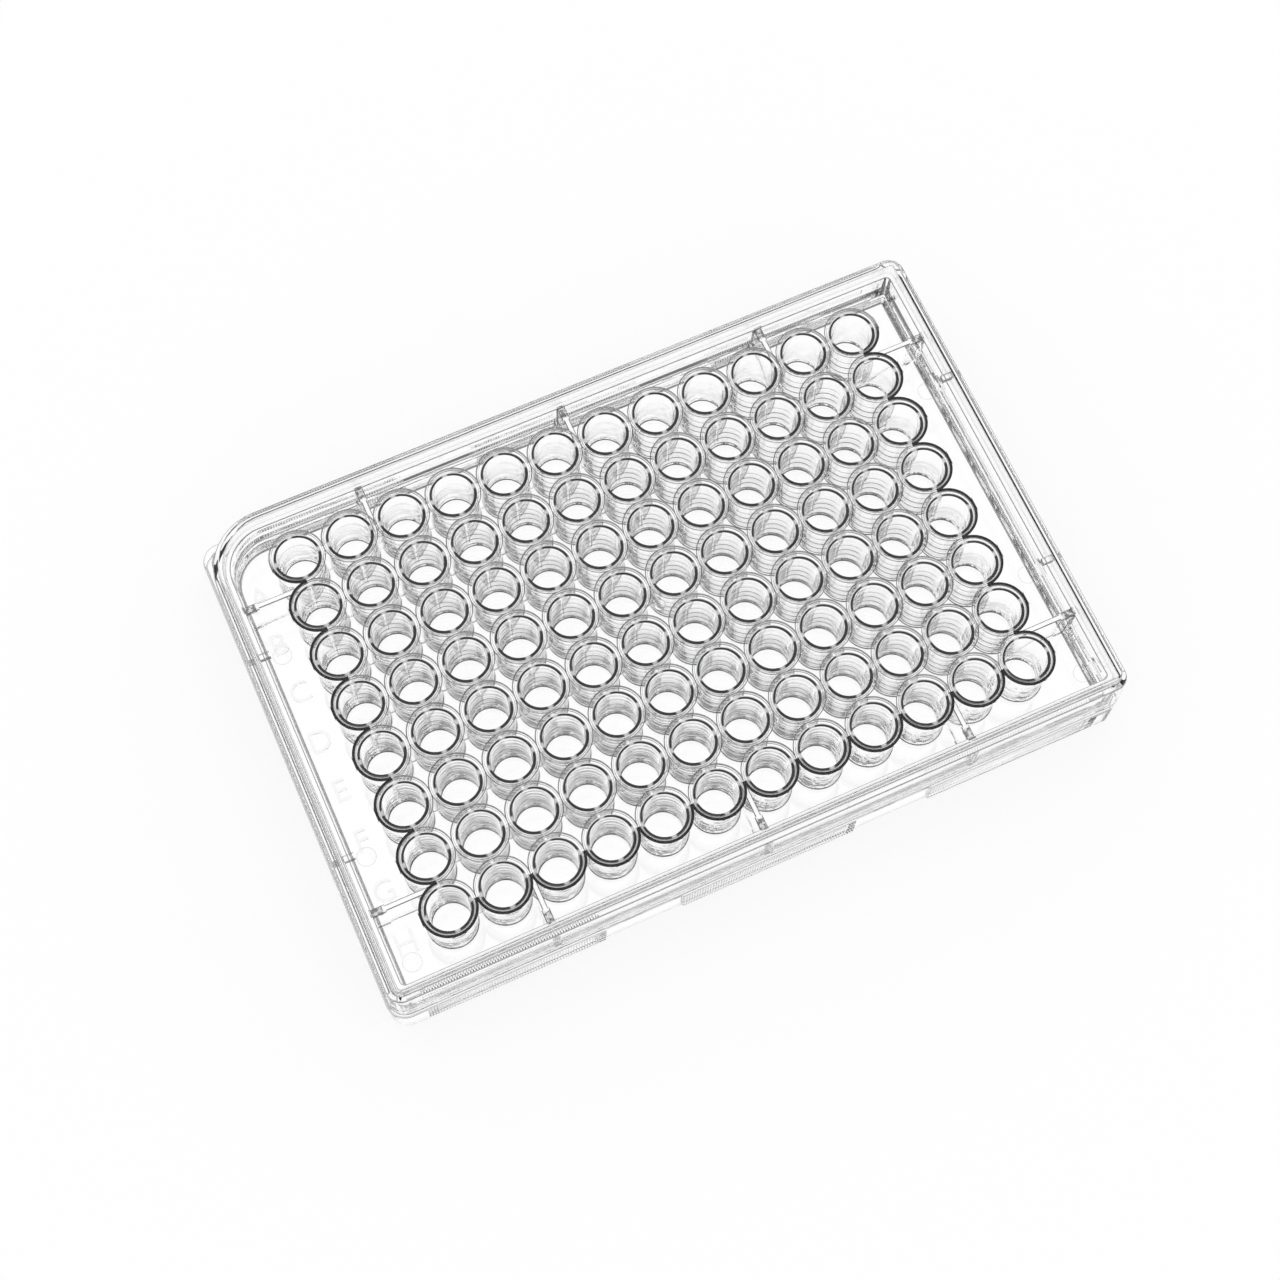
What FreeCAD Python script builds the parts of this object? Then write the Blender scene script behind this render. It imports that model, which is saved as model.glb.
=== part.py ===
import FreeCAD, Part
import math
import os

import Sketcher

# A 96-well culture plate and its lid, each injection moulded in clear polystyrene.
# Millimetres. The origin is the middle of the plate's footprint on the bench, +Z up.
# Columns run along +X and rows towards -Y, so well A1 is at -X, +Y.

SIZES = [
    # the grid of wells, which the footprint follows
    ("pitch", 9.0, "well to well"),
    ("columns", 12, "wells along X"),
    ("rows", 8, "wells along Y"),
    ("end_margin", 14.38, "middle of column 1 or 12 to the end of the footprint"),
    ("side_margin", 11.24, "middle of row A or H to the side of the footprint"),
    # the flange
    ("flange_height", 6.1, "bench to the ledge that the lid sits on"),
    ("flange_wall", 1.3, "wall of the flange"),
    ("ledge_thickness", 1.2, "skin under the ledge"),
    ("corner_radius", 3.2, "flange corners A1, A12 and H1"),
    ("corner_cut", 3.0, "leg of the 45 degree cut on flange corner H12"),
    # smooth recesses that part the flange's grips
    ("grip_inner", 14.95, "middle of the plate to a recess"),
    ("grip_outer", 28.4, "middle of the plate to a recess's far end"),
    ("grip_depth", 0.4, "depth of a recess"),
    # the deck, which is the floor of the wells
    ("deck_underside", 3.4, "bench to the deck's underside"),
    ("deck_thickness", 1.25, "thickness of the deck and the well bottoms"),
    # the wells
    ("plate_height", 14.2, "bench to the well rims"),
    ("bore_radius", 3.43, "bore of a well"),
    ("well_wall", 0.57, "wall of a well"),
    ("web_thickness", 0.7, "webs from well to well"),
    ("web_drop", 2.6, "well rims to the top of the webs"),
    # the frame, which rises from the ledge round the wells
    ("frame_drop", 1.5, "well rims to the top of the frame"),
    ("frame_rim", 0.85, "thickness of the frame at its top"),
    ("frame_draft", 3.0, "degrees"),
    ("frame_corner", 1.5, "frame corners A12, H1 and H12"),
    ("moat_corner", 0.75, "inside corners A12, H1 and H12 of the frame"),
    ("key_radius", 8.4, "frame corner A1, which keys the lid"),
    # ribs that tie the outer wells to the frame
    ("rib_thickness", 0.9, "thickness of a rib"),
    ("rib_drop", 1.9, "well rims to the top of a rib"),
    ("rib_root_thickness", 1.3, "where a rib meets the frame"),
    ("rib_root_length", 2.0, "from the frame to where the rib thins"),
    ("guide_width", 1.4, "guide for the lid, outside the frame in line with a rib"),
    ("guide_depth", 0.2, "how proud of the frame a guide stands"),
    # the lid
    ("lid_inset", 0.4, "footprint to the skirt's foot"),
    ("skirt_wall", 1.45, "thickness of the skirt's foot"),
    ("lid_gap", 0.4, "clearance between the skirt's foot and the frame"),
    ("lid_clearance", 0.3, "clearance between the well rims and the lid's top"),
    ("skirt_draft", 2.7, "degrees, outside"),
    ("skirt_inner_draft", 3.7, "degrees, inside"),
    ("lid_corner", 2.9, "outer corners A12, H1 and H12"),
    ("lid_inner_corner", 0.9, "inner corners A12, H1 and H12"),
    ("crown_step", 1.35, "skirt's foot to the raised top, which the next plate sits round"),
    ("crown_height", 1.65, "stacking step to the top"),
    ("top_thickness", 1.2, "thickness of the lid's top"),
    ("spacer_length", 2.4, "vent spacer under the lid, along X"),
    ("spacer_width", 1.0, "vent spacer under the lid, along Y"),
    ("spacer_height", 1.2, "vent spacer under the lid"),
    ("spacer_offset", 17.9, "middle of the plate to a spacer, along Y"),
]

CORNERS = ("front_left", "front_right", "back_right", "back_left")  # H1, H12, A12, A1
OVERRUN = 1  # how far a cut runs past the face that it starts from

doc = FreeCAD.newDocument("well_plate")
sheet = doc.addObject("Spreadsheet::Sheet", "Sizes")
for row, (alias, value, note) in enumerate(SIZES, start=1):
    sheet.set(f"A{row}", alias)
    sheet.set(f"B{row}", str(value))
    sheet.set(f"C{row}", note)
    sheet.setAlias(f"B{row}", alias)
doc.recompute()


def size(alias):
    return f"Sizes.{alias}"


# Sizes that follow from the sheet's. A place along Z is measured from the bench, and an
# inset from the footprint.
LENGTH = f"(2 * {size('end_margin')} + ({size('columns')} - 1) * {size('pitch')})"
WIDTH = f"(2 * {size('side_margin')} + ({size('rows')} - 1) * {size('pitch')})"
OUTER_COLUMN = f"(({size('columns')} - 1) / 2 * {size('pitch')})"
OUTER_ROW = f"(({size('rows')} - 1) / 2 * {size('pitch')})"
DECK_TOP = f"({size('deck_underside')} + {size('deck_thickness')})"
WELL_DEPTH = f"({size('plate_height')} - {DECK_TOP})"
CHIMNEY_RADIUS = f"({size('bore_radius')} + {size('well_wall')})"
FRAME_TOP = f"({size('plate_height')} - {size('frame_drop')})"
FRAME_INSET = f"({size('lid_inset')} + {size('skirt_wall')} + {size('lid_gap')})"
FRAME_RISE = f"({FRAME_TOP} - {size('flange_height')})"
FRAME_SLOPE = f"tan({size('frame_draft')} * 1 deg)"
FRAME_LEAN = f"({FRAME_RISE} * {FRAME_SLOPE})"
# the moat runs round the wells, inside the frame
MOAT_INSET = f"({FRAME_INSET} + {FRAME_LEAN} + {size('frame_rim')})"
MOAT_DEPTH = f"({FRAME_TOP} - {DECK_TOP})"
MOAT_FOOT = f"({MOAT_INSET} + {MOAT_DEPTH} * {FRAME_SLOPE})"
MOAT_KEY = f"({size('key_radius')} - {FRAME_LEAN} - {size('frame_rim')})"
LID_UNDERSIDE = f"({size('plate_height')} + {size('lid_clearance')})"
LID_STEP = f"({LID_UNDERSIDE} + {size('top_thickness')} - {size('crown_height')})"
LID_INNER_KEY = f"({size('key_radius')} + {size('lid_gap')})"
LID_KEY = f"({LID_INNER_KEY} + {size('skirt_wall')})"


def new_body(label):
    body = doc.addObject("PartDesign::Body", label)
    body.Label = label
    return body


def new_sketch(body, name, height="0"):
    """A sketch on the body's own XY plane, raised to `height` above the bench."""
    plane = next(f for f in body.Origin.OriginFeatures if f.Role == "XY_Plane")
    sketch = body.newObject("Sketcher::SketchObject", name)
    sketch.AttachmentSupport = [(plane, "")]
    sketch.MapMode = "FlatFace"
    sketch.setExpression("AttachmentOffset.Base.z", f"({height}) * 1 mm")
    return sketch


def number(sketch, expression):
    return float(sketch.evalExpression(expression))


def bind(sketch, name, constraint, expression):
    """Adds a named dimension whose size follows the sheet."""
    index = sketch.addConstraint(Sketcher.Constraint(*constraint, number(sketch, expression)))
    sketch.renameConstraint(index, name)
    sketch.setExpression(f"Constraints.{name}", expression)


def add_outline(sketch, name, inset, radii, cut=None):
    """The plate's outline, `inset` inside the footprint.

    `radii` gives the corners H1, H12, A12 and A1. `cut` replaces H12's radius with a
    45 degree cut of that leg.
    """
    half = inside(inset)
    x, y = number(sketch, half["x"]), number(sketch, half["y"])
    corner = [number(sketch, cut if cut and i == 1 else radius) for i, radius in enumerate(radii)]
    point = FreeCAD.Vector
    ends = [
        (point(-x + corner[0], -y), point(x - corner[1], -y)),
        (point(x, -y + corner[1]), point(x, y - corner[2])),
        (point(x - corner[2], y), point(-x + corner[3], y)),
        (point(-x, y - corner[3]), point(-x, -y + corner[0])),
    ]
    sides = [sketch.addGeometry(Part.LineSegment(*pair)) for pair in ends]
    front, right, back, left = sides
    sketch.addConstraint([Sketcher.Constraint("Horizontal", side) for side in (front, back)])
    sketch.addConstraint([Sketcher.Constraint("Vertical", side) for side in (left, right)])
    origin = (-1, 1)
    bind(sketch, f"{name}_right", ("DistanceX", *origin, right, 1), half["x"])
    bind(sketch, f"{name}_left", ("DistanceX", left, 1, *origin), half["x"])
    bind(sketch, f"{name}_back", ("DistanceY", *origin, back, 1), half["y"])
    bind(sketch, f"{name}_front", ("DistanceY", front, 1, *origin), half["y"])
    for i, radius in enumerate(radii):
        before, after = sides[i - 1], sides[i]
        if cut and i == 1:
            slant = sketch.addGeometry(Part.LineSegment(ends[i - 1][1], ends[i][0]))
            sketch.addConstraint(Sketcher.Constraint("Coincident", before, 2, slant, 1))
            sketch.addConstraint(Sketcher.Constraint("Coincident", slant, 2, after, 1))
            bind(sketch, f"{name}_cut_x", ("DistanceX", slant, 1, slant, 2), cut)
            bind(sketch, f"{name}_cut_y", ("DistanceY", slant, 1, slant, 2), cut)
            continue
        sign_x, sign_y = ((-1, -1), (1, -1), (1, 1), (-1, 1))[i]
        centre = point(sign_x * (x - corner[i]), sign_y * (y - corner[i]))
        circle = Part.Circle(centre, point(0, 0, 1), corner[i])
        start = (i - 2) * math.pi / 2
        arc = sketch.addGeometry(Part.ArcOfCircle(circle, start, start + math.pi / 2))
        sketch.addConstraint(Sketcher.Constraint("Tangent", before, 2, arc, 1))
        sketch.addConstraint(Sketcher.Constraint("Tangent", arc, 2, after, 1))
        bind(sketch, f"{name}_{CORNERS[i]}", ("Radius", arc), radius)


def add_rectangle(sketch, name, left, right, front, back):
    """A rectangle between four coordinates, each an expression."""
    place = [number(sketch, edge) for edge in (left, right, front, back)]
    low_x, high_x, low_y, high_y = place
    corners = [(low_x, low_y), (high_x, low_y), (high_x, high_y), (low_x, high_y)]
    corners = [FreeCAD.Vector(*corner) for corner in corners]
    lines = [Part.LineSegment(corners[i - 1], corners[i]) for i in range(4)]
    west, south, east, north = [sketch.addGeometry(line) for line in lines]
    for first, second in ((west, south), (south, east), (east, north), (north, west)):
        sketch.addConstraint(Sketcher.Constraint("Coincident", first, 2, second, 1))
    sketch.addConstraint([Sketcher.Constraint("Vertical", side) for side in (west, east)])
    sketch.addConstraint([Sketcher.Constraint("Horizontal", side) for side in (south, north)])
    origin = (-1, 1)
    bind(sketch, f"{name}_left", ("DistanceX", *origin, west, 1), left)
    bind(sketch, f"{name}_right", ("DistanceX", *origin, east, 1), right)
    bind(sketch, f"{name}_front", ("DistanceY", *origin, south, 1), front)
    bind(sketch, f"{name}_back", ("DistanceY", *origin, north, 1), back)


def add_circle(sketch, name, centre_x, centre_y, radius):
    centre = FreeCAD.Vector(number(sketch, centre_x), number(sketch, centre_y))
    circle = Part.Circle(centre, FreeCAD.Vector(0, 0, 1), number(sketch, radius))
    index = sketch.addGeometry(circle)
    bind(sketch, f"{name}_x", ("DistanceX", -1, 1, index, 3), centre_x)
    bind(sketch, f"{name}_y", ("DistanceY", -1, 1, index, 3), centre_y)
    bind(sketch, f"{name}_radius", ("Radius", index), radius)


def inside(inset):
    """The coordinates `inset` inside the footprint, along X and along Y."""
    return {"x": f"{LENGTH} / 2 - ({inset})", "y": f"{WIDTH} / 2 - ({inset})"}


def add_spokes(sketch, thickness, near, far):
    """Rectangles in gaps between wells, from `near` to `far` of the plate's middle."""
    row_gap = f"({size('rows')} / 2 - 1) * {size('pitch')}"
    column_gap = f"({size('columns')} / 2 - 2) * {size('pitch')}"
    gaps = {"x": (f"-{row_gap}", row_gap), "y": (f"-{column_gap}", "0", column_gap)}
    for axis, middles in gaps.items():
        for i, middle in enumerate(middles):
            across = (f"{middle} - {thickness} / 2", f"{middle} + {thickness} / 2")
            for side in ("low", "high"):
                along = (near[axis], far[axis])
                if side == "low":
                    along = (f"-({far[axis]})", f"-({near[axis]})")
                edges = (*along, *across) if axis == "x" else (*across, *along)
                add_rectangle(sketch, f"{axis}_{i}_{side}", *edges)


def extrude(kind, body, sketch, name, length, taper="0", upwards=None):
    """A pad, or a pocket that cuts upwards or downwards from its sketch."""
    feature = body.newObject(f"PartDesign::{kind}", name)
    feature.Profile = sketch
    feature.setExpression("Length", f"({length}) * 1 mm")
    feature.setExpression("TaperAngle", f"({taper}) * 1 deg")
    if kind == "Pocket":
        feature.Reversed = bool(upwards)
    sketch.Visibility = False
    return feature


def pattern_wells(body, name, feature, sketch):
    """Repeats a well feature over the 8 by 12 grid."""
    grid = body.newObject("PartDesign::LinearPattern", name)
    grid.Originals = [feature]
    grid.Direction = (sketch, ["H_Axis"])
    grid.Mode = "Extent"
    grid.setExpression("Length", f"2 * {OUTER_COLUMN} * 1 mm")
    grid.setExpression("Occurrences", size("columns"))
    grid.Direction2 = (sketch, ["V_Axis"])
    grid.Reversed2 = True
    grid.Mode2 = "Extent"
    grid.setExpression("Length2", f"2 * {OUTER_ROW} * 1 mm")
    grid.setExpression("Occurrences2", size("rows"))
    body.Tip = grid
    return grid


def rounded(corner, key):
    return [corner, corner, corner, key]


def build_plate():
    body = new_body("plate")

    footprint = new_sketch(body, "Footprint")
    radius = size("corner_radius")
    add_outline(footprint, "edge", "0", rounded(radius, radius), cut=size("corner_cut"))
    extrude("Pad", body, footprint, "Flange", size("flange_height"))

    frame = new_sketch(body, "FrameOutline", size("flange_height"))
    frame_corners = rounded(size("frame_corner"), size("key_radius"))
    add_outline(frame, "edge", FRAME_INSET, frame_corners)
    extrude("Pad", body, frame, "Frame", FRAME_RISE, taper=f"-{size('frame_draft')}")

    moat = new_sketch(body, "MoatOutline", FRAME_TOP)
    moat_corners = rounded(size("moat_corner"), MOAT_KEY)
    add_outline(moat, "edge", MOAT_INSET, moat_corners)
    draft = f"-{size('frame_draft')}"
    extrude("Pocket", body, moat, "Moat", MOAT_DEPTH, taper=draft)

    underside = new_sketch(body, "UndersideOutline")
    inner_radius = f"{radius} - {size('flange_wall')}"
    # a cut corner's leg shrinks by (2 - sqrt(2)) for each millimetre of inset
    inner_cut = f"{size('corner_cut')} - (2 - sqrt(2)) * {size('flange_wall')}"
    inner_corners = rounded(inner_radius, inner_radius)
    add_outline(underside, "edge", size("flange_wall"), inner_corners, cut=inner_cut)
    extrude("Pocket", body, underside, "Underside", size("deck_underside"), upwards=True)

    gutter = new_sketch(body, "GutterOutline", size("deck_underside"))
    add_outline(gutter, "outer", size("flange_wall"), inner_corners, cut=inner_cut)
    add_outline(gutter, "inner", FRAME_INSET, frame_corners)
    gutter_depth = f"{size('flange_height')} - {size('ledge_thickness')} - {size('deck_underside')}"
    extrude("Pocket", body, gutter, "Gutter", gutter_depth, upwards=True)

    recesses = new_sketch(body, "GripRecesses")
    near = f"{WIDTH} / 2 - {size('grip_depth')}"
    far = f"{WIDTH} / 2 + {OVERRUN}"
    for side, (front, back) in {"front": (f"-({far})", f"-({near})"), "back": (near, far)}.items():
        for hand, sign in (("left", "-"), ("right", "")):
            edges = sorted((f"{sign}{size('grip_inner')}", f"{sign}{size('grip_outer')}"),
                           key=lambda edge: number(recesses, edge))
            add_rectangle(recesses, f"{side}_{hand}", *edges, front, back)
    extrude("Pocket", body, recesses, "Recesses", size("flange_height"), upwards=True)

    first_well = (f"-{OUTER_COLUMN}", OUTER_ROW)
    chimney = new_sketch(body, "ChimneyCircle", DECK_TOP)
    add_circle(chimney, "foot", *first_well, CHIMNEY_RADIUS)
    first_chimney = extrude("Pad", body, chimney, "Chimney", WELL_DEPTH)
    pattern_wells(body, "Chimneys", first_chimney, chimney)

    half_web = f"{size('web_thickness')} / 2"
    web_rise = f"{WELL_DEPTH} - {size('web_drop')}"
    row_webs = new_sketch(body, "RowWebLines", DECK_TOP)
    ends = (f"-{OUTER_COLUMN}", OUTER_COLUMN)
    for i in range(int(number(row_webs, size("rows")))):
        middle = f"{OUTER_ROW} - {i} * {size('pitch')}"
        add_rectangle(row_webs, f"row_{i}", *ends,
                      f"{middle} - {half_web}", f"{middle} + {half_web}")
    extrude("Pad", body, row_webs, "RowWebs", web_rise)
    column_webs = new_sketch(body, "ColumnWebLines", DECK_TOP)
    ends = (f"-{OUTER_ROW}", OUTER_ROW)
    for i in range(int(number(column_webs, size("columns")))):
        middle = f"{i} * {size('pitch')} - {OUTER_COLUMN}"
        add_rectangle(column_webs, f"column_{i}",
                      f"{middle} - {half_web}", f"{middle} + {half_web}", *ends)
    extrude("Pad", body, column_webs, "ColumnWebs", web_rise)

    rib_rise = f"{WELL_DEPTH} - {size('rib_drop')}"
    outer_wells = {"x": OUTER_COLUMN, "y": OUTER_ROW}
    wall_foot = inside(MOAT_FOOT)
    ribs = new_sketch(body, "RibLines", DECK_TOP)
    add_spokes(ribs, size("rib_thickness"), outer_wells, wall_foot)
    extrude("Pad", body, ribs, "Ribs", rib_rise)
    roots = new_sketch(body, "RibRootLines", DECK_TOP)
    root_start = inside(f"{MOAT_FOOT} + {size('rib_root_length')}")
    add_spokes(roots, size("rib_root_thickness"), root_start, wall_foot)
    extrude("Pad", body, roots, "RibRoots", rib_rise)
    guides = new_sketch(body, "GuideLines", size("flange_height"))
    in_wall = inside(f"{FRAME_INSET} + {size('frame_rim')}")
    proud = inside(f"{FRAME_INSET} - {size('guide_depth')}")
    add_spokes(guides, size("guide_width"), in_wall, proud)
    extrude("Pad", body, guides, "Guides", FRAME_RISE, taper=draft)

    bore = new_sketch(body, "BoreCircle", size("plate_height"))
    add_circle(bore, "rim", *first_well, size("bore_radius"))
    first_bore = extrude("Pocket", body, bore, "Bore", WELL_DEPTH)
    pattern_wells(body, "Bores", first_bore, bore)
    return body


def build_lid():
    body = new_body("lid")
    skirt = new_sketch(body, "SkirtOutline", size("flange_height"))
    outer_corners = rounded(size("lid_corner"), LID_KEY)
    add_outline(skirt, "edge", size("lid_inset"), outer_corners)
    outer_draft = f"-{size('skirt_draft')}"
    skirt_rise = f"{LID_STEP} - {size('flange_height')}"
    extrude("Pad", body, skirt, "Skirt", skirt_rise, taper=outer_draft)

    crown = new_sketch(body, "CrownOutline", LID_STEP)
    crown_corners = [f"{radius} - {size('crown_step')}" for radius in outer_corners]
    crown_inset = f"{size('lid_inset')} + {size('crown_step')}"
    add_outline(crown, "edge", crown_inset, crown_corners)
    extrude("Pad", body, crown, "Crown", size("crown_height"))

    hollow = new_sketch(body, "HollowOutline", size("flange_height"))
    inner_inset = f"{size('lid_inset')} + {size('skirt_wall')}"
    inner_corners = rounded(size("lid_inner_corner"), LID_INNER_KEY)
    add_outline(hollow, "edge", inner_inset, inner_corners)
    depth = f"{LID_UNDERSIDE} - {size('flange_height')}"
    inner_draft = f"-{size('skirt_inner_draft')}"
    extrude("Pocket", body, hollow, "Hollow", depth, taper=inner_draft, upwards=True)

    spacers = new_sketch(body, "SpacerOutlines", LID_UNDERSIDE)
    spacer_end = f"({LENGTH} / 2 - {FRAME_INSET} - {FRAME_LEAN})"
    spacer_start = f"({spacer_end} - {size('spacer_length')})"
    half_width = f"{size('spacer_width')} / 2"
    for end, (left, right) in {"left": (f"-{spacer_end}", f"-{spacer_start}"),
                               "right": (spacer_start, spacer_end)}.items():
        for side, sign in (("front", "-"), ("back", "")):
            middle = f"{sign}{size('spacer_offset')}"
            add_rectangle(spacers, f"{end}_{side}", left, right,
                          f"{middle} - {half_width}", f"{middle} + {half_width}")
    pad = extrude("Pad", body, spacers, "Spacers", size("spacer_height"))
    pad.Reversed = True
    return body


parts = [build_plate(), build_lid()]
doc.recompute()
for item in doc.Objects:
    if {"Invalid", "Error"} & set(item.State):
        raise RuntimeError(f"{item.Label} failed: {item.State}")
os.makedirs("parts", exist_ok=True)
for part in parts:
    shape = part.Shape
    if shape.isNull() or not shape.isValid() or len(shape.Solids) != 1:
        raise RuntimeError(f"{part.Label} is not one sound solid")
    shape.exportStep(f"parts/{part.Label}.step")
    print(part.Label, round(shape.Volume), "mm3", shape.BoundBox)
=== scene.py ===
import math

import bmesh
import bpy
import numpy as np
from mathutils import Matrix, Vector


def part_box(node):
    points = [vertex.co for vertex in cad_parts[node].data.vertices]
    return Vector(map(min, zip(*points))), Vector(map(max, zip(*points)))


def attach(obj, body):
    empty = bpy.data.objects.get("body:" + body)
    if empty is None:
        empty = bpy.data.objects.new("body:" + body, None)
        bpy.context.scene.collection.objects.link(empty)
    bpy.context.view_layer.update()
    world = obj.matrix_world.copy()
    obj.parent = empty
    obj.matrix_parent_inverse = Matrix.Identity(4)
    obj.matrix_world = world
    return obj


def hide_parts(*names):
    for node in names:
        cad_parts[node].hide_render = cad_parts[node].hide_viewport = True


# Sizes are in millimetres, as in the CAD, and are turned into metres when a mesh is made.
MM = 0.001

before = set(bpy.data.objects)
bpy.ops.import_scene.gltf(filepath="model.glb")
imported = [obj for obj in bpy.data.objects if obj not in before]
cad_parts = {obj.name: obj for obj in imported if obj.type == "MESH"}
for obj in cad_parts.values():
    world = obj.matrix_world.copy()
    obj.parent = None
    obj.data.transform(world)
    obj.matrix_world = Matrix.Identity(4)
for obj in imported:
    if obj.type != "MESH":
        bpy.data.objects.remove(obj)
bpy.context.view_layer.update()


def size_of(node):
    """The lowest and highest corners of a CAD node, in millimetres."""
    low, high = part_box(node)
    return np.array(low) / MM, np.array(high) / MM


plate_low, plate_high = size_of("plate")
lid_low, lid_high = size_of("lid")

# the plate
LENGTH, WIDTH = (plate_high - plate_low)[:2]
PITCH, COLUMNS, ROWS = 9.0, 12, 8
RIM_Z = plate_high[2]
LEDGE_Z = lid_low[2]  # the lid's skirt stands on the ledge
LEDGE_UNDERSIDE = LEDGE_Z - 1.2
FRAME_Z = 12.7
DECK_Z = 4.65
DECK_UNDERSIDE = 3.4
FLANGE_WALL = 1.3
FRAME_INSET = 2.25  # the frame's outer face at the ledge
FRAME_LEAN = 0.35  # how far it leans in by its top
FRAME_RIM = 0.85
FRAME_EDGE = 0.15  # the radius of its outer top edge
FRAME_TOP_INSET = FRAME_INSET + FRAME_LEAN + FRAME_RIM  # the frame's inner face at its top
MOAT_LEAN = 0.42  # how far the inner face leans out by its foot
CORNER = 3.2
CORNER_CUT = 3.0
KEY_CORNER = 8.4
FRAME_CORNER = 1.5
BORE_TOP, BORE_BOTTOM, BORE_FILLET = 3.43, 3.24, 0.25
CHIMNEY_TOP, CHIMNEY_FOOT, CHIMNEY_FILLET = 3.93, 4.08, 0.3
RIM_ROUND = 0.235  # the radius of a well rim's edges
WELL_SEGMENTS = 40
WEB_Z, WEB, WEB_EDGE = 11.6, 0.6, 0.15
WEB_FLARE = 0.06  # how much a web's sides flare by its foot
RIB_Z, RIB, RIB_EDGE = 12.3, 0.9, 0.14
RIB_COLUMNS = (-36.0, 0.0, 36.0)
RIB_ROWS = (-27.0, 27.0)
RIB_ROOT, ROOT_REACH = 1.3, 2.6  # the width and length of a rib's thicker end
GUIDE, GUIDE_DEPTH = 1.4, 0.2
SUNK = 0.3  # how far what stands on the deck reaches into it
BITE = 0.8  # how far inside the frame's outer face the ribs end
SHORT = 0.05  # how much less a root reaches into the frame and the deck than its rib
APART = 0.02  # keeps faces of solids that are joined or cut out of one plane
GRIPS = ((-58.3, -28.4), (-14.95, 14.95), (28.4, 58.3))  # knurled stretches of a long side
RECESSES = ((-28.4, -14.95), (14.95, 28.4))
RECESS_DEPTH = 0.4
KNURL_PITCH, KNURL_DEPTH = 0.46, 0.15
LETTER_X, LETTER_HEIGHT, LETTER_RISE = -57.4, 3.7, 0.15
EJECTORS = ((-57.7, 20.8), (-57.8, -16.0), (-57.6, -34.5), (59.7, 20.8), (59.8, -16.0), (60.0, -35.0))
EJECTOR_RADIUS, GATE_RADIUS, MARK_DEPTH, MARK_SLOPE = 1.6, 0.95, 0.06, 0.1
MARK_SEGMENTS = 32
PAST = 1  # how far a cutter reaches past the face it opens
# the lid
LID_INSET = LENGTH / 2 - lid_high[0]
TOP_Z = lid_high[2]
STEP_Z = TOP_Z - 1.65
STEP_INSET = 0.77
CROWN_INSET = 1.75
LID_UNDERSIDE = TOP_Z - 1.2
LID_WALL = 1.45  # the skirt's thickness at its foot
LID_CORNER = 2.9
LID_KEY_CORNER = 10.2
RING_OUT, RING_IN, RING_DEPTH, RING_EDGE = 4.58, 4.2, 0.45, 0.15
RING_SEGMENTS = 64
SPACER_Y, SPACER, SPACER_LENGTH = 17.9, 1.0, 1.8
SPACER_Z = LID_UNDERSIDE - 1.2
# a film of air, because clear surfaces that touch exactly render black
AIR = 0.02

# Profiles, from the lowest outline to the highest.
FLANGE_PROFILE = (  # inset and height
    (0.15, 0), (0, 0.15), (0, LEDGE_Z - 0.25), (0.08, LEDGE_Z - 0.08), (0.25, LEDGE_Z),
)
POCKET_PROFILE = (  # inset past the flange's wall and height
    (-0.02, -PAST), (0, LEDGE_UNDERSIDE - 0.2), (0.2, LEDGE_UNDERSIDE),
)
MOAT_PROFILE = (  # inset past the frame's inner face, height, corner, and how much less the key corner is
    (MOAT_LEAN + 0.3, DECK_Z, 0.2, 2.3),
    (MOAT_LEAN + 0.09, DECK_Z + 0.09, 0.35, 2.1),
    (MOAT_LEAN, DECK_Z + 0.3, 0.45, 2.0),
    (0, FRAME_Z - 0.15, 0.75, 1.3),
    (-0.044, FRAME_Z - 0.044, 0.8, 1.25),
    (-0.15, FRAME_Z, 0.9, 1.15),
    (-0.15, FRAME_Z + PAST, 0.9, 1.15),
)
LID_PROFILE = (  # inset, height, and how much less the corners' radii are than at the skirt's foot
    (LID_INSET + 0.15, LEDGE_Z + AIR, 0.15),
    (LID_INSET, LEDGE_Z + 0.15, 0),
    (STEP_INSET, STEP_Z - 0.2, STEP_INSET - LID_INSET),
    (STEP_INSET + 0.06, STEP_Z - 0.06, STEP_INSET - LID_INSET + 0.06),
    (STEP_INSET + 0.2, STEP_Z, STEP_INSET - LID_INSET + 0.2),
    (CROWN_INSET - 0.15, STEP_Z, CROWN_INSET - LID_INSET - 0.15),
    (CROWN_INSET, STEP_Z + 0.15, CROWN_INSET - LID_INSET),
    (CROWN_INSET + 0.03, TOP_Z - 0.25, CROWN_INSET - LID_INSET),
    (CROWN_INSET + 0.1, TOP_Z - 0.07, CROWN_INSET - LID_INSET + 0.07),
    (CROWN_INSET + 0.28, TOP_Z, CROWN_INSET - LID_INSET + 0.25),
)
HOLLOW_PROFILE = (  # inset past the skirt's inner face, height and corner
    (0, LEDGE_Z - PAST, 0.9),
    (0, LEDGE_Z, 0.9),
    (0.52, LID_UNDERSIDE - 0.3, 0.4),
    (0.62, LID_UNDERSIDE - 0.08, 0.35),
    (0.85, LID_UNDERSIDE, 0.3),
)

FIELD = (COLUMNS * PITCH / 2, ROWS * PITCH / 2)  # half the length and width of the wells' field
OUTERMOST = ((COLUMNS - 1) / 2 * PITCH, (ROWS - 1) / 2 * PITCH)  # the outermost wells' axes
CENTRES = [
    ((column - (COLUMNS - 1) / 2) * PITCH, ((ROWS - 1) / 2 - row) * PITCH)
    for row in range(ROWS)
    for column in range(COLUMNS)
]


# ---------------------------------------------------------------- meshes

SAME_PLACE = 1e-7  # in metres
SHARP_ANGLE = 35


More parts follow.
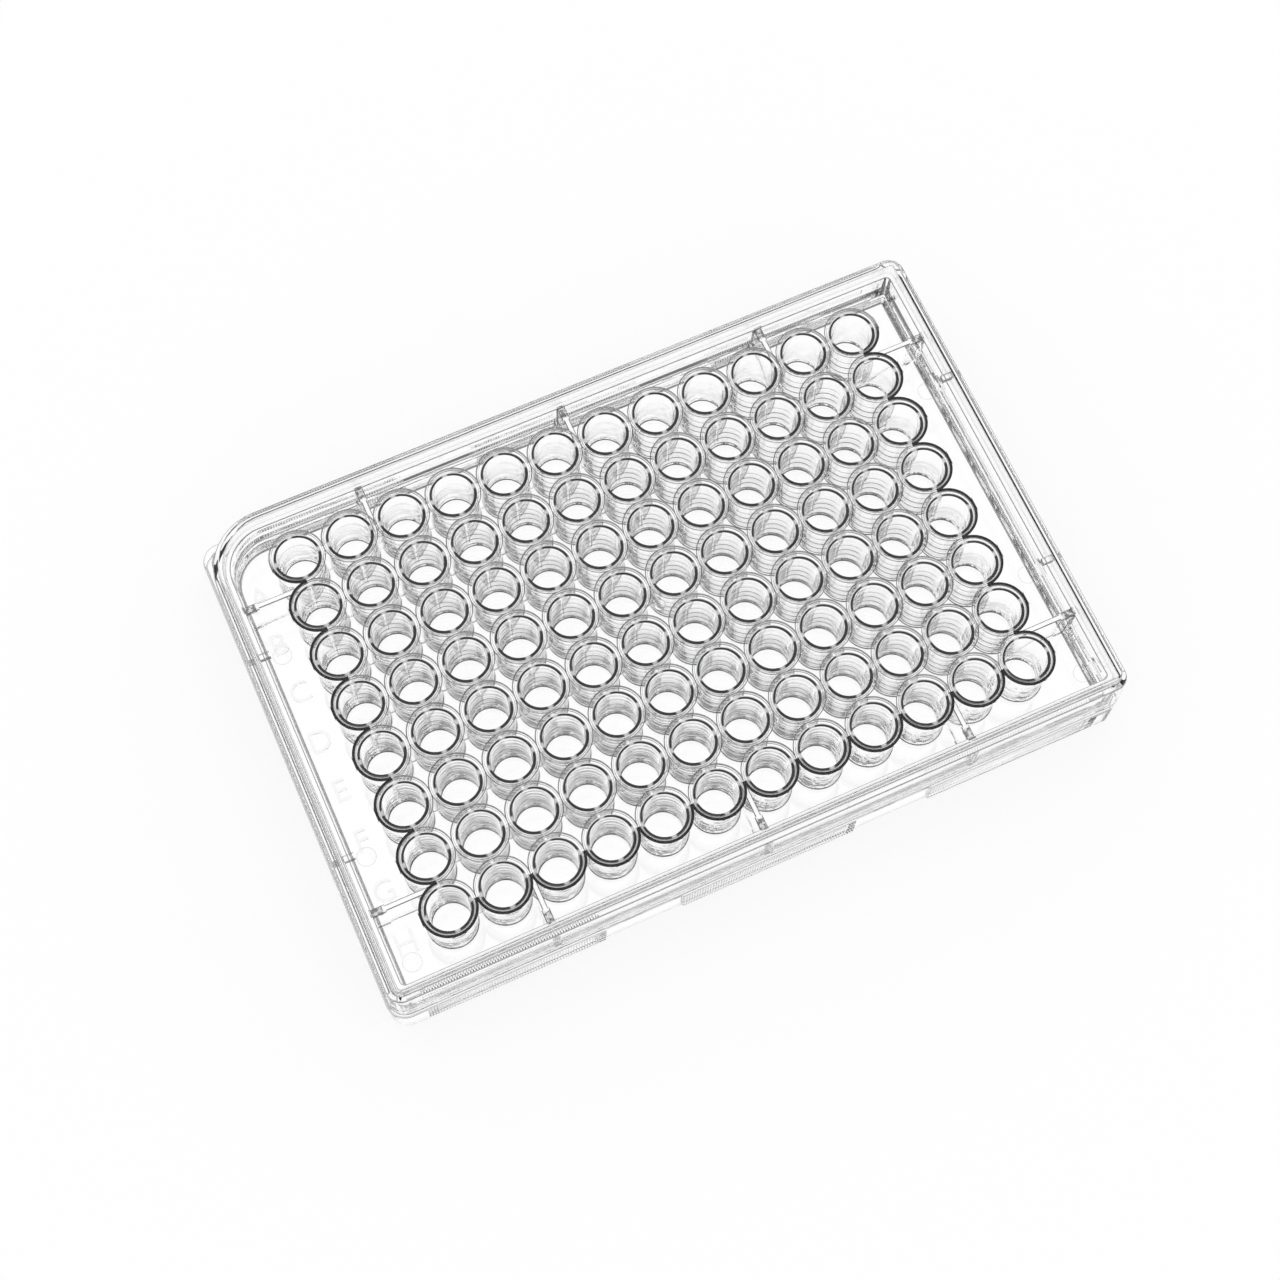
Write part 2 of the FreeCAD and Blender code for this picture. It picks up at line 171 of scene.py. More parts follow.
def new_object(name, vertices, faces):
    """An object from vertices in millimetres."""
    mesh = bpy.data.meshes.new(name)
    mesh.from_pydata([tuple(c * MM for c in v) for v in vertices], [], faces)
    thing = bpy.data.objects.new(name, mesh)
    bpy.context.scene.collection.objects.link(thing)
    return thing


def remove(thing):
    mesh = thing.data
    bpy.data.objects.remove(thing)
    bpy.data.meshes.remove(mesh)


def loft(name, loops):
    """A capped solid through loops of equal length, from the lowest loop to the highest."""
    count = len(loops[0])
    vertices = [point for loop in loops for point in loop]
    faces = []
    for a in range(0, len(vertices) - count, count):
        b = a + count
        for j in range(count):
            k = (j + 1) % count
            faces.append((a + j, a + k, b + k, b + j))
    faces.append(tuple(reversed(range(count))))
    faces.append(tuple(range(len(vertices) - count, len(vertices))))
    return new_object(name, vertices, faces)


def outline(inset, z, corner, key=None, cut=None, steps=10):
    """The footprint's outline, `inset` inside it: a rounded rectangle, anticlockwise from H1.

    `key` is the radius at A1 and `cut` the leg of the 45 degree cut at H12.
    """
    x, y = LENGTH / 2 - inset, WIDTH / 2 - inset
    radii = [corner, corner, corner, key or corner]
    points = []
    for i, (sx, sy) in enumerate(((-1, -1), (1, -1), (1, 1), (-1, 1))):
        if cut and i == 1:
            for j in range(steps + 1):
                t = j / steps
                points.append((x - cut * (1 - t), -y + cut * t, z))
            continue
        r = radii[i]
        for j in range(steps + 1):
            angle = (i - 2 + j / steps) * math.pi / 2
            points.append((sx * (x - r) + r * math.cos(angle),
                           sy * (y - r) + r * math.sin(angle), z))
    return points


def revolve(name, profile, centres, segments):
    """A solid of revolution at each centre. The profile is (radius, z) from the axis round to the axis."""
    vertices, faces = [], []
    turns = [(math.cos(2 * math.pi * i / segments), math.sin(2 * math.pi * i / segments))
             for i in range(segments)]
    for cx, cy in centres:
        rings = []
        for radius, z in profile:
            start = len(vertices)
            if radius < 1e-6:
                vertices.append((cx, cy, z))
                rings.append([start] * segments)
            else:
                vertices += [(cx + radius * c, cy + radius * s, z) for c, s in turns]
                rings.append(list(range(start, start + segments)))
        for low, high in zip(rings, rings[1:]):
            for i in range(segments):
                k = (i + 1) % segments
                if low[0] == low[1]:
                    faces.append((low[0], high[k], high[i]))
                elif high[0] == high[1]:
                    faces.append((low[i], low[k], high[0]))
                else:
                    faces.append((low[i], low[k], high[k], high[i]))
    return new_object(name, vertices, faces)


def arc(cx, cz, radius, start, end, steps):
    """Points round (cx, cz) in a profile, from one angle to another in degrees."""
    points = []
    for i in range(steps + 1):
        angle = math.radians(start + (end - start) * i / steps)
        points.append((cx + radius * math.cos(angle), cz + radius * math.sin(angle)))
    return points


def boolean(target, operation, *tools):
    """Joins or cuts `target` with each tool, and removes the tools."""
    for tool in tools:
        modifier = target.modifiers.new(operation, "BOOLEAN")
        modifier.operation = operation
        modifier.solver = "MANIFOLD"
        modifier.object = tool
        with bpy.context.temp_override(object=target, active_object=target):
            bpy.ops.object.modifier_apply(modifier=modifier.name)
        remove(tool)


def prism(name, points, low, high):
    """A prism over a polygon that runs anticlockwise."""
    return loft(name, [[(x, y, z) for x, y in points] for z in (low, high)])


def join(name, things):
    """One object from several disjoint ones."""
    vertices, faces = [], []
    for thing in things:
        start = len(vertices)
        vertices += [tuple(v.co) for v in thing.data.vertices]
        faces += [tuple(start + i for i in p.vertices) for p in thing.data.polygons]
        remove(thing)
    mesh = bpy.data.meshes.new(name)
    mesh.from_pydata(vertices, [], faces)
    made = bpy.data.objects.new(name, mesh)
    bpy.context.scene.collection.objects.link(made)
    return made


def finish_mesh(thing):
    """Cleans a mesh and smooths it between its sharp edges, with the wide faces left flat."""
    mesh = thing.data
    work = bmesh.new()
    work.from_mesh(mesh)
    bmesh.ops.remove_doubles(work, verts=work.verts, dist=SAME_PLACE)
    bmesh.ops.dissolve_degenerate(work, edges=work.edges, dist=SAME_PLACE)
    work.to_mesh(mesh)
    work.free()
    mesh.shade_smooth()
    mesh.set_sharp_from_angle(angle=math.radians(SHARP_ANGLE))
    modifier = thing.modifiers.new("normals", "WEIGHTED_NORMAL")
    modifier.keep_sharp = True
    with bpy.context.temp_override(object=thing, active_object=thing):
        bpy.ops.object.modifier_apply(modifier=modifier.name)


# ---------------------------------------------------------------- the plate

def frame_loops():
    """The frame's outer face, with its top edge rounded."""
    loops = [outline(FRAME_INSET, DECK_UNDERSIDE, FRAME_CORNER, KEY_CORNER),
             outline(FRAME_INSET, LEDGE_Z, FRAME_CORNER, KEY_CORNER)]
    for angle in (0, 30, 60, 90):
        less = FRAME_LEAN + FRAME_EDGE * (1 - math.cos(math.radians(angle)))
        z = FRAME_Z - FRAME_EDGE * (1 - math.sin(math.radians(angle)))
        loops.append(outline(FRAME_INSET + less, z, FRAME_CORNER - less, KEY_CORNER - less))
    return loops


def side_cutter(name, start, end, side, points):
    """A cutter over the whole height of a long side, along `points` from `start` to `end`."""
    points = points + [(end, WIDTH / 2 + PAST), (start, WIDTH / 2 + PAST)]
    if side < 0:
        points = [(x, -y) for x, y in reversed(points)]
    return prism(name, points, -PAST, LEDGE_Z + PAST)


def knurl_cutter(start, end, side):
    """What is cut away between the teeth of one knurled stretch of a long side."""
    crest = WIDTH / 2 + APART
    teeth = round((end - start) / KNURL_PITCH)
    pitch = (end - start) / teeth
    points = []
    for i in range(teeth):
        points.append((start + i * pitch, crest))
        points.append((start + (i + 0.5) * pitch, WIDTH / 2 - KNURL_DEPTH))
    return side_cutter("knurl", start, end, side, points + [(end, crest)])


def recess_cutter(start, end, side):
    """A smooth recess with rounded ends in a long side."""
    bends = [(RECESS_DEPTH * (1 - math.cos(angle)), WIDTH / 2 - RECESS_DEPTH * math.sin(angle))
             for angle in (math.radians(22.5 * i) for i in range(5))]
    points = [(start + along, y) for along, y in bends] + [(end - along, y) for along, y in reversed(bends)]
    return side_cutter("recess", start, end, side, points)


def letter(text, x, y, low, high):
    """A raised letter from `low` to `high`, centred on (x, y)."""
    curve = bpy.data.curves.new("letter", "FONT")
    curve.body = text
    curve.extrude = 0.5  # only tells its two faces apart
    curve.resolution_u = 3
    holder = bpy.data.objects.new("letter", curve)
    bpy.context.scene.collection.objects.link(holder)
    mesh = bpy.data.meshes.new_from_object(holder.evaluated_get(bpy.context.evaluated_depsgraph_get()))
    bpy.data.objects.remove(holder)
    bpy.data.curves.remove(curve)
    made = np.array([v.co for v in mesh.vertices])
    faces = [tuple(p.vertices) for p in mesh.polygons]
    bpy.data.meshes.remove(mesh)
    middle = (made.min(axis=0) + made.max(axis=0)) / 2
    scale = LETTER_HEIGHT / (made[:, 1].max() - made[:, 1].min())
    vertices = [(x + (v[0] - middle[0]) * scale, y + (v[1] - middle[1]) * scale, high if v[2] > 0 else low)
                for v in made]
    thing = new_object("letter", vertices, faces)
    work = bmesh.new()
    work.from_mesh(thing.data)
    bmesh.ops.remove_doubles(work, verts=work.verts, dist=1e-6)
    work.to_mesh(thing.data)
    work.free()
    return thing


def shallow_mark(radius, face, inward):
    """The profile of a cutter for a round mark in a flat face. `inward` is the way into the plastic."""
    floor = face + inward * MARK_DEPTH
    points = [(0, floor), (radius - MARK_SLOPE, floor), (radius, face),
              (radius, face - inward * PAST), (0, face - inward * PAST)]
    return points if inward < 0 else points[::-1]


def make_shell():
    """The flange with its open foot, knurled grips and recesses, and the frame round the deck."""
    shell = loft("plate_moulding", [outline(inset, z, CORNER - inset, None, CORNER_CUT)
                                    for inset, z in FLANGE_PROFILE])
    pocket_corner = CORNER - FLANGE_WALL
    pocket_cut = CORNER_CUT - (2 - math.sqrt(2)) * FLANGE_WALL  # leaves the wall as thick at the cut corner
    pocket = loft("pocket", [
        outline(FLANGE_WALL + past, z, pocket_corner - max(past, 0), None, pocket_cut)
        for past, z in POCKET_PROFILE])
    moat = loft("moat", [outline(FRAME_TOP_INSET + past, z, corner, KEY_CORNER - less)
                         for past, z, corner, less in MOAT_PROFILE])
    cutters = [knurl_cutter(*stretch, side) for stretch in GRIPS for side in (-1, 1)]
    cutters += [recess_cutter(*stretch, side) for stretch in RECESSES for side in (-1, 1)]
    boolean(shell, "DIFFERENCE", pocket, join("cutters", cutters))
    boolean(shell, "UNION", loft("core", frame_loops()))
    boolean(shell, "DIFFERENCE", moat)
    return shell


def make_webs():
    """The webs between the wells: one object for the rows and one for the columns."""
    half_x, half_y = OUTERMOST
    flare, half = WEB / 2 + WEB_FLARE, WEB / 2
    section = [(-flare, DECK_Z - SUNK), (flare, DECK_Z - SUNK), (half, WEB_Z - WEB_EDGE),
               (half - WEB_EDGE, WEB_Z), (WEB_EDGE - half, WEB_Z), (-half, WEB_Z - WEB_EDGE)]
    row_webs = join("row_webs", [
        loft("web", [[(x, y + s, z) for s, z in section] for x in (-half_x, half_x)])
        for y in sorted({c[1] for c in CENTRES})])
    column_webs = join("column_webs", [
        loft("web", [[(x - s, y, z) for s, z in section] for y in (-half_y, half_y)])
        for x in sorted({c[0] for c in CENTRES})])
    return row_webs, column_webs


def spoke(axis, side, middle, width, start, end, low, high):
    """A wall across the moat, between two distances from the plate's middle."""
    near, far = sorted((side * start, side * end))
    half, top = width / 2, high - RIB_EDGE
    section = [(-half, low), (half, low), (half, top), (half - RIB_EDGE, high), (RIB_EDGE - half, high),
               (-half, top)]
    if axis == "x":
        return loft("spoke", [[(x, middle + s, z) for s, z in section] for x in (near, far)])
    return loft("spoke", [[(middle - s, y, z) for s, z in section] for y in (near, far)])


def guide(axis, side, middle, out):
    """A guide for the lid, which leans with the frame and has a slope at its top."""
    loops = []
    for z, lean in ((LEDGE_Z - SUNK, 0.0), (FRAME_Z - 0.3, FRAME_LEAN), (FRAME_Z - 0.05, FRAME_LEAN + 0.25)):
        near, far = sorted((side * (out - 0.7 - FRAME_LEAN), side * (out - lean)))
        low, high = middle - GUIDE / 2, middle + GUIDE / 2
        if axis == "x":
            loops.append([(near, low, z), (far, low, z), (far, high, z), (near, high, z)])
        else:
            loops.append([(low, near, z), (high, near, z), (high, far, z), (low, far, z)])
    return loft("guide", loops)


def make_ribs():
    """Ribs from the outer wells to the frame, their thicker roots, and the guides outside it."""
    half_x, half_y = OUTERMOST
    ribs, roots, guides = [], [], []
    spokes = [("y", x, half_y, WIDTH / 2) for x in RIB_COLUMNS]
    spokes += [("x", y, half_x, LENGTH / 2) for y in RIB_ROWS]
    for axis, middle, near, edge in spokes:
        for side in (-1, 1):
            wall = edge - FRAME_INSET - BITE
            for made, width, start, end, low, high in (
                (ribs, RIB, near, wall, DECK_Z - SUNK, RIB_Z),
                (roots, RIB_ROOT, wall - ROOT_REACH, wall - SHORT, DECK_Z - SUNK + SHORT, RIB_Z - APART),
            ):
                made.append(spoke(axis, side, middle, width, start, end, low, high))
            guides.append(guide(axis, side, middle, edge - FRAME_INSET + GUIDE_DEPTH))
    return join("ribs", ribs), join("roots", roots), join("guides", guides)


def make_letters():
    """The row letters, which stand on the deck."""
    return join("letters", [
        letter(text, LETTER_X, ((ROWS - 1) / 2 - i) * PITCH, DECK_Z - SUNK, DECK_Z + LETTER_RISE)
        for i, text in enumerate("ABCDEFGH")])


def make_chimneys():
    """The wells' outsides, with a fillet at the foot and a rounded rim."""
    foot = CHIMNEY_FOOT + CHIMNEY_FILLET
    profile = [(0, DECK_Z - SUNK), (foot, DECK_Z - SUNK)]
    profile += arc(foot, DECK_Z + CHIMNEY_FILLET, CHIMNEY_FILLET, -90, -180, 3)
    profile += arc(CHIMNEY_TOP - RIM_ROUND, RIM_Z - RIM_ROUND, RIM_ROUND, 0, 90, 5)
    profile.append((0, RIM_Z))
    return revolve("chimneys", profile, CENTRES, WELL_SEGMENTS)


def make_bores():
    """The wells' insides, which taper down to a flat floor."""
    profile = [(0, DECK_Z)]
    profile += arc(BORE_BOTTOM - BORE_FILLET, DECK_Z + BORE_FILLET, BORE_FILLET, -90, 0, 3)
    profile += arc(BORE_TOP + RIM_ROUND, RIM_Z - RIM_ROUND, RIM_ROUND, 180, 90, 5)
    profile += [(BORE_TOP + RIM_ROUND, RIM_Z + PAST), (0, RIM_Z + PAST)]
    return revolve("bores", profile, CENTRES, WELL_SEGMENTS)


def make_plate():
    plate = make_shell()
    boolean(plate, "UNION", *make_webs(), *make_ribs(), make_letters(), make_chimneys())
    marks = revolve("ejectors", shallow_mark(EJECTOR_RADIUS, DECK_UNDERSIDE, 1), EJECTORS, MARK_SEGMENTS)
    boolean(plate, "DIFFERENCE", make_bores(), marks)
    finish_mesh(plate)
    return plate


# ---------------------------------------------------------------- the lid

def make_rings():
    """Discs for the condensation rings, as two objects of discs that don't meet, and the holes in them."""
    low, high, edge = LID_UNDERSIDE - RING_DEPTH, LID_UNDERSIDE + SUNK, RING_EDGE
    disc = [(0, low), (RING_OUT - edge, low), (RING_OUT, low + edge), (RING_OUT, high), (0, high)]
    hole = [(0, low - PAST), (RING_IN, low - PAST), (RING_IN, LID_UNDERSIDE), (0, LID_UNDERSIDE)]
    even = [c for i, c in enumerate(CENTRES) if (i // COLUMNS + i) % 2 == 0]
    odd = [c for c in CENTRES if c not in even]
    return (revolve("even", disc, even, RING_SEGMENTS), revolve("odd", disc, odd, RING_SEGMENTS),
            revolve("holes", hole, CENTRES, RING_SEGMENTS))


def make_spacers():
    """The vent spacers, which hang from the lid's underside at its ends."""
    end = LENGTH / 2 - FRAME_INSET - FRAME_LEAN
    spacers = []
    for side in (-1, 1):
        x0, x1 = sorted((side * end, side * (end - SPACER_LENGTH)))
        for middle in (-SPACER_Y, SPACER_Y):
            y0, y1 = middle - SPACER / 2, middle + SPACER / 2
            corners = [(x0, y0), (x1, y0), (x1, y1), (x0, y1)]
            spacers.append(prism("spacer", corners, SPACER_Z, LID_UNDERSIDE + SUNK))
    return join("spacers", spacers)


def make_lid():
    lid = loft("lid_moulding", [outline(inset, z, LID_CORNER - less, LID_KEY_CORNER - less)
                                for inset, z, less in LID_PROFILE])
    hollow = loft("hollow", [
        outline(LID_INSET + LID_WALL + past, z, corner, LID_KEY_CORNER - LID_WALL - past)
        for past, z, corner in HOLLOW_PROFILE])
    even, odd, holes = make_rings()
    gate = revolve("gate", shallow_mark(GATE_RADIUS, TOP_Z, -1), [(0, 0)], MARK_SEGMENTS)
    boolean(lid, "DIFFERENCE", hollow)
    boolean(lid, "UNION", even, odd)
    boolean(lid, "DIFFERENCE", holes, gate)
    boolean(lid, "UNION", make_spacers())
    finish_mesh(lid)
    return lid


# ---------------------------------------------------------------- materials

PAINTED_SHADE_COLOUR = (0.004, 0.004, 0.004, 1)  # painted shade: the near-black colour painted on rims, edges and fillets in place of the dark surroundings that the clear plastic refracts
PLATE_INDEX = 1.59
LID_INDEX = 1.4  # under the plastic's own, so that the lid's reflections don't hide the wells


def math_node(tree, operation, *values):
    """A math node fed by sockets or plain numbers."""
    node = tree.nodes.new("ShaderNodeMath")
    node.operation = operation
    for socket, value in zip(node.inputs, values):
        if isinstance(value, (int, float)):
            socket.default_value = value
        else:
            tree.links.new(value, socket)
    return node.outputs[0]


def vector_node(tree, operation, vector, *values):
    """A vector node of `vector` and plain triples, or its length."""
    node = tree.nodes.new("ShaderNodeVectorMath")
    node.operation = operation
    tree.links.new(vector, node.inputs[0])
    for socket, value in zip(node.inputs[1:], values):
        socket.default_value = value
    return node.outputs["Value" if operation == "LENGTH" else "Vector"]


def split_node(tree, vector):
    node = tree.nodes.new("ShaderNodeSeparateXYZ")
    tree.links.new(vector, node.inputs[0])
    return node.outputs


def ramp_node(tree, value, low, high, at_low, at_high):
    """A smooth step of `value` from `low` to `high`."""
    node = tree.nodes.new("ShaderNodeMapRange")
    node.interpolation_type = "SMOOTHSTEP"
    tree.links.new(value, node.inputs["Value"])
    for name, number in (("From Min", low), ("From Max", high), ("To Min", at_low), ("To Max", at_high)):
        node.inputs[name].default_value = number
    return node.outputs[0]


def band_node(tree, value, low, high):
    """1 where `value` lies between `low` and `high`."""
    return math_node(tree, "COMPARE", value, (low + high) / 2, (high - low) / 2)


def noise_node(tree, place, scale, low, high):
    """A smooth random value between `low` and `high`."""
    noise = tree.nodes.new("ShaderNodeTexNoise")
    noise.inputs["Scale"].default_value = scale
    noise.inputs["Detail"].default_value = 2.0
    tree.links.new(place, noise.inputs["Vector"])
    return ramp_node(tree, noise.outputs["Fac"], 0.4, 0.6, low, high)


def product(tree, *factors):
    result = factors[0]
    for factor in factors[1:]:
        result = math_node(tree, "MULTIPLY", result, factor)
    return result


def greatest(tree, *values):
    result = values[0]
    for value in values[1:]:
        result = math_node(tree, "MAXIMUM", result, value)
    return result


def within(tree, x, y, halves, more=0.0):
    """1 inside a rectangle about the middle, which reaches `more` past its two half sizes."""
    return product(tree, *(band_node(tree, value, -half - more, half + more)
                           for value, half in zip((x, y), halves)))


def slanted_node(tree):
    """1 on faces that are neither level nor upright: rounded edges and fillets."""
    normal = tree.nodes.new("ShaderNodeNewGeometry").outputs["True Normal"]
    level = math_node(tree, "ABSOLUTE", split_node(tree, normal)[2])
    from_middle = math_node(tree, "ABSOLUTE", math_node(tree, "SUBTRACT", level, 0.565))
    return ramp_node(tree, from_middle, 0.315, 0.415, 1.0, 0.0)


def clear_plastic(name, painted_shade_node, index):
    """Clear polystyrene, with painted shade: the second argument builds, from the place in mm, the share
    that is painted near black instead of clear.
    """
    material = bpy.data.materials.new(name)
    material.use_nodes = True
    tree = material.node_tree
    shader = tree.nodes["Principled BSDF"]
    place = tree.nodes.new("ShaderNodeTexCoord").outputs["Object"]
    painted_shade_share = painted_shade_node(tree, vector_node(tree, "MULTIPLY", place, (1 / MM,) * 3), slanted_node(tree))
    # painted shade: the base colour goes to near black, and transmission and reflection drop, where the
    # painted share is 1
    painted_shade_mix = tree.nodes.new("ShaderNodeMix")
    painted_shade_mix.data_type = "RGBA"
    tree.links.new(painted_shade_share, painted_shade_mix.inputs["Factor"])
    painted_shade_mix.inputs["A"].default_value = (1, 1, 1, 1)
    painted_shade_mix.inputs["B"].default_value = PAINTED_SHADE_COLOUR
    tree.links.new(painted_shade_mix.outputs["Result"], shader.inputs["Base Color"])
    tree.links.new(math_node(tree, "SUBTRACT", 1.0, painted_shade_share), shader.inputs["Transmission Weight"])
    tree.links.new(math_node(tree, "MULTIPLY_ADD", painted_shade_share, -0.5, 0.5), shader.inputs["Specular IOR Level"])
    shader.inputs["Roughness"].default_value = 0.0
    shader.inputs["IOR"].default_value = index
    return material


def well_offset(tree, place):
    """The way from the nearest well's axis, level with the deck."""
    flat = vector_node(tree, "MULTIPLY", place, (1, 1, 0))
    cell = vector_node(tree, "WRAP", flat, (PITCH,) * 3, (0, 0, 0))
    return vector_node(tree, "SUBTRACT", cell, (PITCH / 2, PITCH / 2, 0))


def skirt_distance(tree, x, y):
    """How far a place lies outside the foot of the lid's skirt."""
    keyed = product(tree, math_node(tree, "LESS_THAN", x, 0.0), math_node(tree, "GREATER_THAN", y, 0.0))
    corner = math_node(tree, "MULTIPLY_ADD", keyed, LID_KEY_CORNER - LID_CORNER, LID_CORNER)
    squares = []
    for value, half in ((x, LENGTH / 2), (y, WIDTH / 2)):
        past = math_node(tree, "SUBTRACT", math_node(tree, "ABSOLUTE", value), half - LID_INSET)
        past = math_node(tree, "MAXIMUM", math_node(tree, "ADD", past, corner), 0.0)
        squares.append(math_node(tree, "MULTIPLY", past, past))
    return math_node(tree, "SUBTRACT", math_node(tree, "SQRT", math_node(tree, "ADD", *squares)), corner)


def plate_painted_shade(tree, place, slanted):
    """Painted shade on the plate: the share painted near black on its rims, edges and fillets, in place of
    refracted dark surroundings. Heights and radii are in mm.
    """
    def over(value, limit):
        return math_node(tree, "GREATER_THAN", value, limit)

    def under(value, limit):
        return math_node(tree, "LESS_THAN", value, limit)

    x, y, z = split_node(tree, place)
    far_x, far_y = math_node(tree, "ABSOLUTE", x), math_node(tree, "ABSOLUTE", y)
    field = within(tree, x, y, FIELD)
    margin = math_node(tree, "SUBTRACT", 1.0, field)

    # painted shade on the wells: their rims, less so where they meet, and painted foot lines inside and
    # outside
    offset = well_offset(tree, place)
    radius = vector_node(tree, "LENGTH", offset)
    sideways, forward, _ = split_node(tree, offset)
    aside = math_node(tree, "MINIMUM", *(math_node(tree, "ABSOLUTE", way) for way in (sideways, forward)))
    across = math_node(tree, "MULTIPLY_ADD", forward, 0.04, radius)
    rim = product(tree, over(z, RIM_Z - 0.225), ramp_node(tree, across, 3.8, 3.9, 1.0, 0.15),
                  ramp_node(tree, aside, 0.2, 0.6, 0.4, 1.0))
    far = ramp_node(tree, forward, 0.5, 2.0, 0.0, 1.0)
    near = ramp_node(tree, forward, -1.5, 0.0, 1.0, 0.0)
    outside = product(tree, band_node(tree, z, DECK_Z + 0.1, DECK_Z + 0.28),
                      band_node(tree, radius, 4.02, 4.25), near, field)
    inside = product(tree, band_node(tree, z, DECK_Z + 0.05, DECK_Z + 0.22),
                     band_node(tree, radius, 2.9, 3.4), far, field)

    # painted reflections: dark arcs painted on the walls of the inner wells
    rise = 1.8  # from one arc to the next
    level = band_node(tree, math_node(tree, "WRAP", z, DECK_Z + rise, DECK_Z),
                      DECK_Z + 0.42 * rise, DECK_Z + 0.58 * rise)
    face = greatest(tree, product(tree, under(radius, 3.55), far),
                    product(tree, band_node(tree, radius, 3.8, 4.1), near))
    ring = product(tree, level, face, band_node(tree, z, DECK_Z + 0.7, DECK_Z + 6.3),
                   within(tree, x, y, OUTERMOST))

    # painted shade on the flange's sides: the knurl's foot, and the foot line between the grips
    grip = greatest(tree, under(far_x, GRIPS[1][1]), band_node(tree, far_x, *GRIPS[2]))
    groove = band_node(tree, math_node(tree, "WRAP", x, KNURL_PITCH, 0.0),
                       KNURL_PITCH / 4, KNURL_PITCH * 3 / 4)
    knurl = product(tree, over(far_y, WIDTH / 2 - 0.3), grip, groove, under(z, 0.4))
    side = greatest(tree, over(far_x, LENGTH / 2 - 0.475), over(far_y, WIDTH / 2 - 0.475))
    heel = product(tree, side, under(z, 0.3), math_node(tree, "SUBTRACT", 1.0, grip))

    # painted shade, mottled by noise, on the ribs' thicker roots, between two distances from the footprint's
    # sides
    inner, outer = 5.2, 3.1
    half = RIB_ROOT / 2 + 0.01
    by_row = band_node(tree, far_y, RIB_ROWS[1] - half, RIB_ROWS[1] + half)
    by_column = greatest(tree, band_node(tree, x, -half, half),
                         band_node(tree, far_x, RIB_COLUMNS[2] - half, RIB_COLUMNS[2] + half))
    at_end = band_node(tree, far_x, LENGTH / 2 - inner, LENGTH / 2 - outer)
    at_side = band_node(tree, far_y, WIDTH / 2 - inner, WIDTH / 2 - outer)
    root = greatest(tree, product(tree, at_end, by_row), product(tree, at_side, by_column))
    root = product(tree, root, over(z, RIB_Z - 0.8), noise_node(tree, place, 1.6, 0.35, 1.0))

    # painted shade on slanted faces at the deck's outline, the ledge, the ribs' tops and the frame's top, a
    # little darker towards negative x on the frame's top, and a faint grey painted on the letters
    toe = product(tree, slanted, band_node(tree, z, DECK_Z + 0.02, DECK_Z + 0.2), margin)
    sill = product(tree, slanted, band_node(tree, z, LEDGE_Z - 0.3, LEDGE_Z + 0.05))
    bar = product(tree, slanted, band_node(tree, z, RIB_Z - 0.2, RIB_Z + 0.02))
    brow = product(tree, slanted, band_node(tree, z, FRAME_Z - 0.175, FRAME_Z + 0.075),
                   ramp_node(tree, x, -62, -40, 0.95, 0.855))
    letters = product(tree, band_node(tree, x, -60.5, -54.9), band_node(tree, z, DECK_Z + 0.1, DECK_Z + 0.2))
    return greatest(
        tree, rim, knurl, brow,
        product(tree, greatest(tree, outside, inside), 0.9),
        product(tree, greatest(tree, toe, bar), 0.85),
        product(tree, greatest(tree, ring, root), 0.8),
        product(tree, sill, 0.45), product(tree, heel, 0.4), product(tree, slanted, 0.2),
        product(tree, letters, 0.06))


def lid_painted_shade(tree, place, slanted):
    """Painted shade on the lid's edges, foot and spacers, and painted lines at the condensation rings,
    painted darker round the outer wells.
    """
    x, y, z = split_node(tree, place)
    radius = vector_node(tree, "LENGTH", well_offset(tree, place))
    low = math_node(tree, "LESS_THAN", z, LID_UNDERSIDE + 0.01)
    lines = greatest(tree, band_node(tree, radius, 4.16, 4.24), band_node(tree, radius, 4.52, 4.6))
    field = within(tree, x, y, FIELD, 0.1)
    rings = product(tree, low, lines, field, 0.4)
    outer = math_node(tree, "SUBTRACT", 1.0, within(tree, x, y, OUTERMOST, 0.1))
    outer = product(tree, outer, ramp_node(tree, y, 30.0, 33.5, 1.0, 0.0), field)  # but not in row A
    collar = product(tree, low, outer, ramp_node(tree, radius, 4.1, 4.22, 0.4, 0.97),
                     band_node(tree, radius, 3.9, 4.6))
    foot = product(tree, math_node(tree, "LESS_THAN", z, LEDGE_Z + 0.4),
                   math_node(tree, "GREATER_THAN", skirt_distance(tree, x, y), -0.25))
    edge = product(tree, slanted, math_node(tree, "GREATER_THAN", z, LEDGE_Z + 0.35),
                   ramp_node(tree, z, STEP_Z + 0.02, STEP_Z + 0.1, 1.0, 0.7))
    half = SPACER / 2 + 0.05
    spacer = product(tree, band_node(tree, z, SPACER_Z + 0.06, LID_UNDERSIDE - 0.06),
                     band_node(tree, math_node(tree, "ABSOLUTE", y), SPACER_Y - half, SPACER_Y + half),
                     math_node(tree, "GREATER_THAN", math_node(tree, "ABSOLUTE", x), LENGTH / 2 - 5.15))
    return greatest(tree, rings, collar, product(tree, foot, 0.95), product(tree, edge, 0.8),
                    product(tree, spacer, 0.6))


for piece, node, finish in (
    (make_plate(), "plate", clear_plastic("plate_polystyrene", plate_painted_shade, PLATE_INDEX)),
    (make_lid(), "lid", clear_plastic("lid_polystyrene", lid_painted_shade, LID_INDEX)),
):
    piece.data.materials.clear()
    piece.data.materials.append(finish)
    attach(piece, "root")
    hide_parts(node)


# ---------------------------------------------------------------- stage

FLOOR_REACH = 3000
FLOOR_COLOUR = (0.97, 0.97, 0.97, 1)
FLOOR_GLOW = 0.85  # the camera's share of plain white, beside the shadow that the floor keeps
STUDIO = 0.97  # what the plastic sees of the world, which is 1 elsewhere


